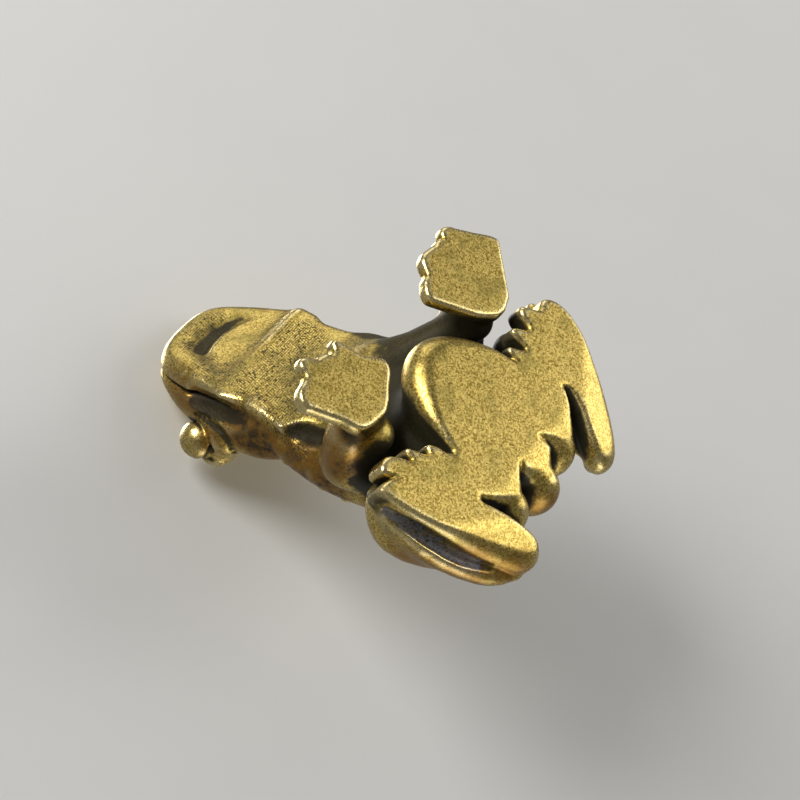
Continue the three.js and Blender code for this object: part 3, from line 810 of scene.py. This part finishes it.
# Each entry is a list of spots as x, y, z, reach in mm and strength; the soot and amber entries also hold
# painted shade
stainsAndShade = {
    # Black patina with painted shade: in the slits, dents and hollows, and on the shaded far arm and flank
    "soot": slitSpots + [spot for stations in shadeTrails.values() for spot in trail(stations)] + seen([
        (206, 362, 2.6, 0.34), (194, 346, 2.2, 0.42), (201, 336, 2.2, 0.42), (211, 328, 1.8, 0.4),
        (214, 370, 2.6, 0.34), (248, 436, 5.0, 0.5), (264, 446, 5.0, 0.5), (296, 468, 5.0, 0.45),
        (345, 470, 4.0, 0.4), (442, 322, 5.0, 0.9), (425, 329, 5.0, 0.9), (475, 330, 4.0, 1.0),
        (350, 436, 2.6, 0.6), (330, 486, 5.0, 0.45), (372, 500, 4.0, 0.6), (376, 452, 2.6, 1.0),
        (368, 466, 2.6, 1.0), (360, 480, 2.4, 0.9),
    ]) + [
        # Painted shade in the chest, between the forelegs and the belly
        (-9.0, 2.0, 7.0, 6.0, 1.0), (-3.0, -3.5, 8.0, 6.0, 1.0), (3.0, -3.5, 8.0, 6.0, 1.0),
        (9.0, 2.0, 7.0, 6.0, 1.0),
    ],
    # Amber stain, with painted shade on the flanks and a painted warm-brown reflection
    "amber": seen([
        (240, 430, 5.0, 1.0), (254, 440, 6.0, 1.0), (268, 448, 6.0, 1.0), (300, 470, 7.0, 1.0),
        (317, 481, 7.0, 1.0), (337, 462, 6.0, 1.0), (343, 446, 5.0, 0.9), (183, 389, 5.0, 0.8),
        (194, 404, 4.5, 0.8), (417, 560, 6.0, 0.8), (467, 570, 6.0, 0.8), (512, 570, 4.5, 0.7),
        (550, 506, 4.5, 0.8), (212, 440, 4.0, 0.7),
    ]) + [
        (-14.0, 12.0, 12.0, 9.0, 0.7), (14.0, 12.0, 12.0, 9.0, 0.7), (13.0, -5.0, 19.0, 7.0, 0.7),
        (16.0, 0.0, 5.0, 5.0, 0.7), (10.5, -14.5, 27.0, 6.0, 0.7), (0.0, 21.0, 9.0, 7.0, 0.7),
    ],
    "hatch": [
        (*onThroat(-1.0, 3.0), 5.0, 0.9), (*onThroat(4.0, 2.5), 4.5, 0.9), (*onThroat(-6.0, 3.5), 5.5, 1.0),
        (*onThroat(-3.0, 8.0), 5.0, 0.9), (*onThroat(-9.0, 8.0), 4.0, 0.9), (*onChin(-6.0, 1.5), 3.6, 1.0),
    ] + seen([
        (206, 362, 2.4, 1.0), (216, 372, 2.4, 1.0), (196, 330, 2.6, 0.7), (212, 320, 2.6, 0.6),
        (190, 345, 2.2, 0.7), (300, 445, 2.6, 1.0), (214, 411, 3.0, 0.8), (285, 430, 2.6, 1.0),
    ]),
    "slate": filled([(*spot, hindFoot["slateReach"], 1.0) for spot in grooveSpots[:-1]], 5)
    + filled([(*spot[:3], hindFoot["farSlateReach"], 1.0) for spot in hindFoot["farGroove"][1:7]], 5),
}
castBrass = bpy.data.materials.new("castBrass")
castBrass.use_nodes = True
# hollow and deep: the share of metal round each point, later darkened as patina and painted shade
traces = {"proud": proud, "hollow": enclosed("hollow"), "deep": enclosed("deep")}
traces.update({name: dabs(spots) for name, spots in stainsAndShade.items()})
print("wear traced:", ", ".join(traces))


def sectionPiece(name, index):
    # One section: its skin, and the walls where it meets its neighbours inside the casting
    ahead = quads[(sides[:, 0] == index) & ~loose[quads[:, 0]]]
    behind = quads[(sides[:, 1] == index) & ~loose[quads[:, 0]]][:, ::-1]
    used, corners = np.unique(np.vstack((ahead, behind)), return_inverse=True)
    corners = corners.reshape(-1, 4)
    mesh = bpy.data.meshes.new(name)
    mesh.vertices.add(len(used))
    mesh.vertices.foreach_set("co", toFrame(places[used]).astype(np.float32).ravel())
    mesh.loops.add(corners.size)
    mesh.loops.foreach_set("vertex_index", corners.astype(np.int32).ravel())
    mesh.polygons.add(len(corners))
    mesh.polygons.foreach_set("loop_start", np.arange(0, corners.size, 4, dtype=np.int32))
    mesh.update(calc_edges=True)
    mesh.polygons.foreach_set("use_smooth", np.ones(len(corners), bool))
    for label, values in traces.items():
        layer = mesh.attributes.new(label, "FLOAT", "POINT")
        layer.data.foreach_set("value", values[used].astype(np.float32))
    mesh.normals_split_custom_set_from_vertices([tuple(v) for v in normals[used]])
    mesh.materials.append(castBrass)
    piece = bpy.data.objects.new(name, mesh)
    bpy.context.scene.collection.objects.link(piece)
    return piece


def pieceName(node):
    return "cast" + "".join(word.capitalize() for word in node.split("_"))


for index, name in enumerate(names):
    piece = sectionPiece(pieceName(name), index + 1)
    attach(piece, "root")
    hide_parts(name)
    print("piece", piece.name, len(piece.data.polygons) * 2, "triangles")


# Low warts on the back: a Geometry Nodes tree strews beads over the skin that faces up
warts = {
    "Spacing": 0.0024, "Count": 60000.0, "Seed": 7, "Least": 0.0005, "Most": 0.00115,
    "flat": 0.5, "sunk": -0.45, "rounds": 3, "worn": 0.5,
    "facing": 0.45, "behind": -5.0, "above": 10.5,  # the skin that carries them: least upward share, y and z
}


def backSkin():
    # The faces of the back and the top of the thighs, without the head and the rims of the feet
    middles = places[quads].mean(1)
    facing = normals[quads].mean(1)[:, 2]
    wanted = outerFaces & (facing > warts["facing"])
    wanted &= (middles[:, 1] > warts["behind"]) & (middles[:, 2] > warts["above"])
    used, corners = np.unique(quads[wanted], return_inverse=True)
    mesh = bpy.data.meshes.new("backSkin")
    outward = corners.reshape(-1, 4)
    turned = sides[wanted][:, 0] == 0
    outward[turned] = outward[turned][:, ::-1]
    mesh.from_pydata(toFrame(places[used]), [], outward.tolist())
    return mesh


def wartTree():
    tree = bpy.data.node_groups.new("wartTree", "GeometryNodeTree")
    tree.interface.new_socket("Geometry", in_out="INPUT", socket_type="NodeSocketGeometry")
    for label in ("Spacing", "Count", "Least", "Most"):
        tree.interface.new_socket(label, in_out="INPUT", socket_type="NodeSocketFloat")
    tree.interface.new_socket("Seed", in_out="INPUT", socket_type="NodeSocketInt")
    tree.interface.new_socket("Geometry", in_out="OUTPUT", socket_type="NodeSocketGeometry")
    given = tree.nodes.new("NodeGroupInput")
    strew = tree.nodes.new("GeometryNodeDistributePointsOnFaces")
    strew.distribute_method = "POISSON"
    bead = tree.nodes.new("GeometryNodeMeshIcoSphere")
    bead.inputs["Radius"].default_value = 1.0
    bead.inputs["Subdivisions"].default_value = warts["rounds"]
    sink = tree.nodes.new("GeometryNodeTransform")
    sink.inputs["Translation"].default_value = (0.0, 0.0, warts["sunk"])
    smooth = tree.nodes.new("GeometryNodeSetShadeSmooth")
    worn = tree.nodes.new("GeometryNodeStoreNamedAttribute")
    worn.data_type = "FLOAT"
    worn.inputs["Name"].default_value = "proud"
    worn.inputs["Value"].default_value = warts["worn"]
    width = tree.nodes.new("FunctionNodeRandomValue")
    squash = tree.nodes.new("ShaderNodeVectorMath")
    squash.operation = "SCALE"
    squash.inputs[0].default_value = (1.0, 1.0, warts["flat"])
    place = tree.nodes.new("GeometryNodeInstanceOnPoints")
    real = tree.nodes.new("GeometryNodeRealizeInstances")
    paint = tree.nodes.new("GeometryNodeSetMaterial")
    paint.inputs["Material"].default_value = castBrass
    result = tree.nodes.new("NodeGroupOutput")
    for start, end in (
        (given.outputs["Geometry"], strew.inputs["Mesh"]),
        (given.outputs["Spacing"], strew.inputs["Distance Min"]),
        (given.outputs["Count"], strew.inputs["Density Max"]),
        (given.outputs["Seed"], strew.inputs["Seed"]),
        (given.outputs["Least"], width.inputs[2]),
        (given.outputs["Most"], width.inputs[3]),
        (given.outputs["Seed"], width.inputs["Seed"]),
        (width.outputs[1], squash.inputs["Scale"]),
        (bead.outputs["Mesh"], sink.inputs["Geometry"]),
        (sink.outputs["Geometry"], smooth.inputs["Geometry"]),
        (smooth.outputs["Geometry"], worn.inputs["Geometry"]),
        (strew.outputs["Points"], place.inputs["Points"]),
        (worn.outputs["Geometry"], place.inputs["Instance"]),
        (strew.outputs["Rotation"], place.inputs["Rotation"]),
        (squash.outputs["Vector"], place.inputs["Scale"]),
        (place.outputs["Instances"], real.inputs["Geometry"]),
        (real.outputs["Geometry"], paint.inputs["Geometry"]),
        (paint.outputs["Geometry"], result.inputs["Geometry"]),
    ):
        tree.links.new(start, end)
    return tree


ground = bpy.data.objects.new("wartGround", backSkin())
bpy.context.scene.collection.objects.link(ground)
strewn = ground.modifiers.new("warts", "NODES")
strewn.node_group = wartTree()
for socket in strewn.node_group.interface.items_tree:
    if socket.in_out == "INPUT" and socket.name in warts:
        strewn[socket.identifier] = warts[socket.name]
settled = ground.evaluated_get(bpy.context.evaluated_depsgraph_get())
wartMesh = bpy.data.meshes.new_from_object(settled)
wartMesh.name = "backWarts"
bpy.data.objects.remove(ground)
wartPiece = bpy.data.objects.new("backWarts", wartMesh)
bpy.context.scene.collection.objects.link(wartPiece)
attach(wartPiece, "root")
print("piece backWarts", len(wartMesh.polygons), "triangles")


# Shader maths: a wire is one socket, and sums and products of wires add Math nodes
class Wire:
    def __init__(self, tree, socket=None):
        self.tree = tree
        self.socket = socket

    def make(self, kind, settings=None, inputs=None, output=0):
        node = self.tree.nodes.new(kind)
        for key, value in (settings or {}).items():
            setattr(node, key, value)
        for key, value in (inputs or {}).items():
            if isinstance(value, Wire):
                self.tree.links.new(value.socket, node.inputs[key])
            else:
                node.inputs[key].default_value = value
        return Wire(self.tree, node.outputs[output])

    def maths(self, operation, first, second):
        return self.make("ShaderNodeMath", {"operation": operation}, {0: first, 1: second})

    def __add__(self, other):
        return self.maths("ADD", self, other)

    __radd__ = __add__

    def __sub__(self, other):
        return self.maths("SUBTRACT", self, other)

    def __rsub__(self, other):
        return self.maths("SUBTRACT", other, self)

    def __mul__(self, other):
        return self.maths("MULTIPLY", self, other)

    __rmul__ = __mul__

    def between(self, low, high):
        # 0 below low, 1 above high, smooth between
        return self.make(
            "ShaderNodeMapRange", {"interpolation_type": "SMOOTHSTEP"},
            {"Value": self, "From Min": low, "From Max": high, "To Min": 0.0, "To Max": 1.0},
        )

    def blend(self, first, second):
        # Colour from first to second as this wire goes from 0 to 1
        return self.make("ShaderNodeMix", {"data_type": "RGBA"}, {0: self, 6: first, 7: second}, 2)


brass = {
    "gold": (0.35, 0.235, 0.042, 1),
    "paleGold": (0.84, 0.63, 0.185, 1),
    "olive": (0.27, 0.23, 0.055, 1),
    # The amber tint is stain with painted shade and a painted warm-brown reflection
    "amber": (0.33, 0.155, 0.028, 1),
    # Near black, for every darkening: black patina, painted shade, soot and etched lines
    "soot": (0.016, 0.016, 0.011, 1),
    "slate": (0.26, 0.265, 0.295, 1),
    "rubbed": (0.93, 0.79, 0.44, 1),
    "cover": {"olive": 0.5, "amber": 0.85, "soot": 0.96, "slate": 0.65, "rubbed": 0.55},
    "grain": 5.5,     # specks per mm
    "ripple": 0.6,    # times the grain
    "patch": 0.22,    # per mm, like the next two
    "mottle": 0.9,
    "pitting": 3.0,
    "grainShare": 0.34,
    "rippleShare": 0.66,
    "goldEdge": (0.34, 0.66),   # specks, from gold to pale gold
    "oliveEdge": (0.48, 0.68),  # patches
    "pitEdge": (0.58, 0.65),
    "etchEdge": (0.05, 0.9),
    "hatchEdge": (0.0, 0.5),
    "wander": 2.5,
    "strokes": {"across": (0.0, 0.788, -0.616), "pitch": 0.30, "edge": (0.66, 0.98), "where": (0.36, 0.56)},
    "cross": {"across": (0.94, 0.27, -0.21), "pitch": 0.36, "edge": (0.7, 0.98), "where": (0.42, 0.6)},
    "etch": {"strokes": 0.8, "cross": 0.7, "dark": 0.9, "bump": 1.6},
    # How dark the soot and the painted shade get
    "sootStain": 0.97,
    "rubLoss": 0.8,  # rubbing that the darkening takes away
    "specular": 0.2,
    "roughness": {"plain": 0.33, "speck": 0.3, "dark": 0.22, "rubbed": 0.10},
    "metalLoss": 0.7,
    "bump": {"ripple": 0.6, "mottle": 0.8, "strength": 0.5, "height": 0.00008},
}
# For each trace, how far the patterns break its rim, and where it starts to show and is full
rims = {
    "hollow": ({"mottle": 0.16}, (0.27, 0.43)),
    "deep": ({"mottle": 0.14}, (0.235, 0.35)),
    "soot": ({"mottle": 0.8, "speck": 0.6}, (0.16, 0.66)),
    "proud": ({"speck": 0.5, "mottle": 1.2}, (0.4, 1.5)),
    "amber": ({"patch": 0.9, "mottle": 0.5}, (0.0, 0.95)),
    "slate": ({"mottle": 1.1, "speck": 0.9}, (0.3, 1.0)),
}
tree = castBrass.node_tree
shader = tree.nodes["Principled BSDF"]
start = Wire(tree)
objectSpot = start.make("ShaderNodeTexCoord", output="Object")
mm = start.make("ShaderNodeVectorMath", {"operation": "SCALE"}, {0: objectSpot, "Scale": perMetre})


def noise(scale, detail, roughness=0.55):
    return start.make("ShaderNodeTexNoise", None, {
        "Vector": mm, "Scale": scale, "Detail": detail, "Roughness": roughness,
    })


def trace(name):
    return start.make("ShaderNodeAttribute", {"attribute_name": name}, output="Fac")


def lines(stroke, field):
    # Fine strokes across a direction, broken by the mottle and shown where a field is high
    dot = {"operation": "DOT_PRODUCT"}
    along = start.make("ShaderNodeVectorMath", dot, {0: mm, 1: stroke["across"]}, "Value")
    wave = along * (2 * math.pi / stroke["pitch"]) + mottle * brass["wander"]
    ridges = start.make("ShaderNodeMath", {"operation": "SINE"}, {0: wave}) * 0.5 + 0.5
    return ridges.between(*stroke["edge"]) * field.between(*stroke["where"])


def broken(name):
    # A trace with the rim that the patterns give it
    shares, edge = rims[name]
    total = trace(name)
    for pattern, share in shares.items():
        total = total + (patterns[pattern] - 0.5) * share
    return total.between(*edge)


grains = start.make("ShaderNodeTexVoronoi", None, {"Vector": mm, "Scale": brass["grain"]}, "Color")
grains = start.make("ShaderNodeSeparateColor", None, {0: grains}, "Red")
ripple = noise(brass["grain"] * brass["ripple"], detail=4.0, roughness=0.85)
speck = grains * brass["grainShare"] + ripple * brass["rippleShare"]
patch = noise(brass["patch"], detail=4.0)
mottle = noise(brass["mottle"], detail=3.0)
pits = noise(brass["pitting"], detail=1.0, roughness=0.5).between(*brass["pitEdge"])
patterns = {"speck": speck, "mottle": mottle, "patch": patch}
# hollow and deep darken where metal closes round a point, as patina and painted shade
hollowMask, deepMask, sootAndShadeMask, proudMask, amberAndShadeMask, slateMask = (
    broken(name) for name in ("hollow", "deep", "soot", "proud", "amber", "slate")
)
etch = brass["etch"]
strokes = lines(brass["strokes"], mottle) * etch["strokes"]
cross = lines(brass["cross"], 1 - mottle) * etch["cross"]
etched = (strokes + cross + pits).between(*brass["etchEdge"]) * trace("hatch").between(*brass["hatchEdge"])
# The share left undarkened by patina, painted shade, soot and etching
undarkened = (1 - hollowMask) * (1 - deepMask) * (1 - sootAndShadeMask * brass["sootStain"]) * (1 - etched * etch["dark"])
dark = 1 - undarkened
rubbed = proudMask * (1 - dark * brass["rubLoss"])
colour = speck.between(*brass["goldEdge"]).blend(brass["gold"], brass["paleGold"])
for tint, mask in (
    ("olive", patch.between(*brass["oliveEdge"])),
    ("amber", amberAndShadeMask),
    ("soot", dark),
    ("slate", slateMask * (1 - pits)),
    ("rubbed", rubbed),
):
    colour = (mask * brass["cover"][tint]).blend(colour, brass[tint])
tree.links.new(colour.socket, shader.inputs["Base Color"])
shader.inputs["Specular IOR Level"].default_value = brass["specular"]
dull = brass["roughness"]
roughness = dull["plain"] + (speck - 0.5) * dull["speck"] + dark * dull["dark"] - rubbed * dull["rubbed"]
tree.links.new(roughness.socket, shader.inputs["Roughness"])
metallic = 1 - dark * brass["metalLoss"]
tree.links.new(metallic.socket, shader.inputs["Metallic"])
bumps = ripple * brass["bump"]["ripple"] + mottle * brass["bump"]["mottle"] - etched * etch["bump"]
bump = start.make("ShaderNodeBump", None, {
    "Strength": brass["bump"]["strength"], "Distance": brass["bump"]["height"], "Height": bumps,
})
tree.links.new(bump.socket, shader.inputs["Normal"])
print("brass shaded with", len(tree.nodes), "nodes")

# Camera
cameraData = bpy.data.cameras.new("photoCamera")
cameraData.lens = photoCamera["lens"]
cameraData.sensor_width = photoCamera["sensor"]
cameraData.clip_start, cameraData.clip_end = photoCamera["clip"]
camera = bpy.data.objects.new("photoCamera", cameraData)
camera.matrix_world = Matrix.Translation(Vector(toFrame(eye))) @ turn.to_4x4()
bpy.context.scene.collection.objects.link(camera)
bpy.context.scene.camera = camera

# Lamps: the soles are lit from below, the back from above
lamps = {
    "underKey": {"from": (-0.33, -0.77, -0.54), "away": 0.45, "size": 0.22, "watts": 1.5},
    "underFill": {"from": (0.66, 0.02, -0.72), "away": 0.50, "size": 0.34, "watts": 0.075},
    "nearHeel": {"from": (0.41, 0.42, -0.79), "away": 0.50, "size": 0.20, "watts": 0.34},
    "farHeel": {"from": (0.84, 0.36, -0.38), "away": 0.50, "size": 0.24, "watts": 0.38},
    "underRear": {"from": (0.62, 0.55, -0.54), "away": 0.50, "size": 0.20, "watts": 0.18},
    "chinFill": {"from": (0.66, -0.68, -0.27), "away": 0.50, "size": 0.34, "watts": 0.42},
    "topKey": {"from": (0.50, -0.60, 0.80), "away": 0.50, "size": 0.30, "watts": 1.3},
    "topFill": {"from": (-0.45, 0.85, 0.35), "away": 0.55, "size": 0.34, "watts": 0.5},
}
lampAim = Vector((0, 0, 0.015))  # m, the point that every lamp faces
for name, values in lamps.items():
    data = bpy.data.lights.new(name, "AREA")
    data.shape = "DISK"
    data.size = values["size"]
    data.energy = values["watts"]
    lampObject = bpy.data.objects.new(name, data)
    away = Vector(values["from"]).normalized()
    lampObject.location = away * values["away"] + lampAim
    lampObject.rotation_euler = away.to_track_quat("Z", "Y").to_euler()
    bpy.context.scene.collection.objects.link(lampObject)

# Studio: light that is paler above the horizon, and floors that fade into an even backdrop
studio = {
    "pale": (0.28, 0.28, 0.27, 1),
    "shade": (0.18, 0.18, 0.17, 1),
    "horizon": (-0.45, 0.1),
    "backdrop": (0.60, 0.595, 0.58, 1),
    "floor": (0.74, 0.73, 0.71, 1),
    "floorGrain": 60.0,
    "floorDark": 0.96,  # of the floor's colour, in its grain
    "floorRoughness": 0.9,
    "floorSpecular": 0.1,
    "sweep": (0.10, 0.45),  # m from the middle where a floor starts to fade and is gone
    "standing": {"reach": 4.0, "up": (0, 0, 1)},
    "lying": {"reach": 0.4, "up": (-0.08, 0.05, -0.99)},
    "clearance": 0.0001,  # m between a floor and the toad
}
world = bpy.data.worlds.new("studio")
bpy.context.scene.world = world
world.use_nodes = True
worldStart = Wire(world.node_tree)
skyward = worldStart.make("ShaderNodeTexCoord", output="Generated")
height = worldStart.make("ShaderNodeSeparateXYZ", None, {0: skyward}, "Z")
sky = height.between(*studio["horizon"]).blend(studio["shade"], studio["pale"])
fromCamera = worldStart.make("ShaderNodeLightPath", output="Is Camera Ray")
sky = fromCamera.blend(sky, studio["backdrop"])
world.node_tree.links.new(sky.socket, world.node_tree.nodes["Background"].inputs["Color"])


def floorPlate(name, middle, up, reach):
    # A floor that is seen from its upper side only, so that each view has one floor
    up = Vector(up).normalized()
    side = up.orthogonal().normalized()
    ahead = up.cross(side)
    turns = ((-1, -1), (1, -1), (1, 1), (-1, 1))
    corners = [Vector(middle) + reach * (a * side + b * ahead) for a, b in turns]
    mesh = bpy.data.meshes.new(name)
    mesh.from_pydata([tuple(corner) for corner in corners], [], [(0, 1, 2, 3)])
    material = bpy.data.materials.new(name)
    material.use_nodes = True
    floorStart = Wire(material.node_tree)
    plain = material.node_tree.nodes["Principled BSDF"]
    plain.inputs["Roughness"].default_value = studio["floorRoughness"]
    plain.inputs["Specular IOR Level"].default_value = studio["floorSpecular"]
    grain = floorStart.make("ShaderNodeTexNoise", None, {"Scale": studio["floorGrain"], "Detail": 3.0})
    darker = tuple(studio["floorDark"] * c for c in studio["floor"][:3]) + (1,)
    tone = grain.blend(studio["floor"], darker)
    material.node_tree.links.new(tone.socket, plain.inputs["Base Color"])
    spot = floorStart.make("ShaderNodeTexCoord", output="Object")
    distance = floorStart.make("ShaderNodeVectorMath", {"operation": "LENGTH"}, {0: spot}, "Value")
    glow = floorStart.make("ShaderNodeEmission", None, {"Color": studio["backdrop"]})
    sweep = floorStart.make("ShaderNodeMixShader", None, {
        0: distance.between(*studio["sweep"]), 1: Wire(material.node_tree, plain.outputs[0]), 2: glow,
    })
    behind = floorStart.make("ShaderNodeNewGeometry", output="Backfacing")
    clear = floorStart.make("ShaderNodeBsdfTransparent")
    shown = floorStart.make("ShaderNodeMixShader", None, {0: behind, 1: sweep, 2: clear})
    surface = material.node_tree.nodes["Material Output"].inputs["Surface"]
    material.node_tree.links.new(shown.socket, surface)
    mesh.materials.append(material)
    floor = bpy.data.objects.new(name, mesh)
    for ray in ("diffuse", "glossy", "transmission", "volume_scatter", "shadow"):
        setattr(floor, "visible_" + ray, False)
    bpy.context.scene.collection.objects.link(floor)
    return floor


standing, lying = studio["standing"], studio["lying"]
floorPlate("standingFloor", (0, 0, -studio["clearance"]), standing["up"], standing["reach"])
overhead = -np.array(lying["up"])
overhead /= np.linalg.norm(overhead)
touch = (toFrame(places) @ overhead).max() + studio["clearance"]
floorPlate("lyingFloor", tuple(overhead * touch), tuple(-overhead), lying["reach"])
bpy.context.scene.view_settings.view_transform = "Standard"
print("stage and lamps set")
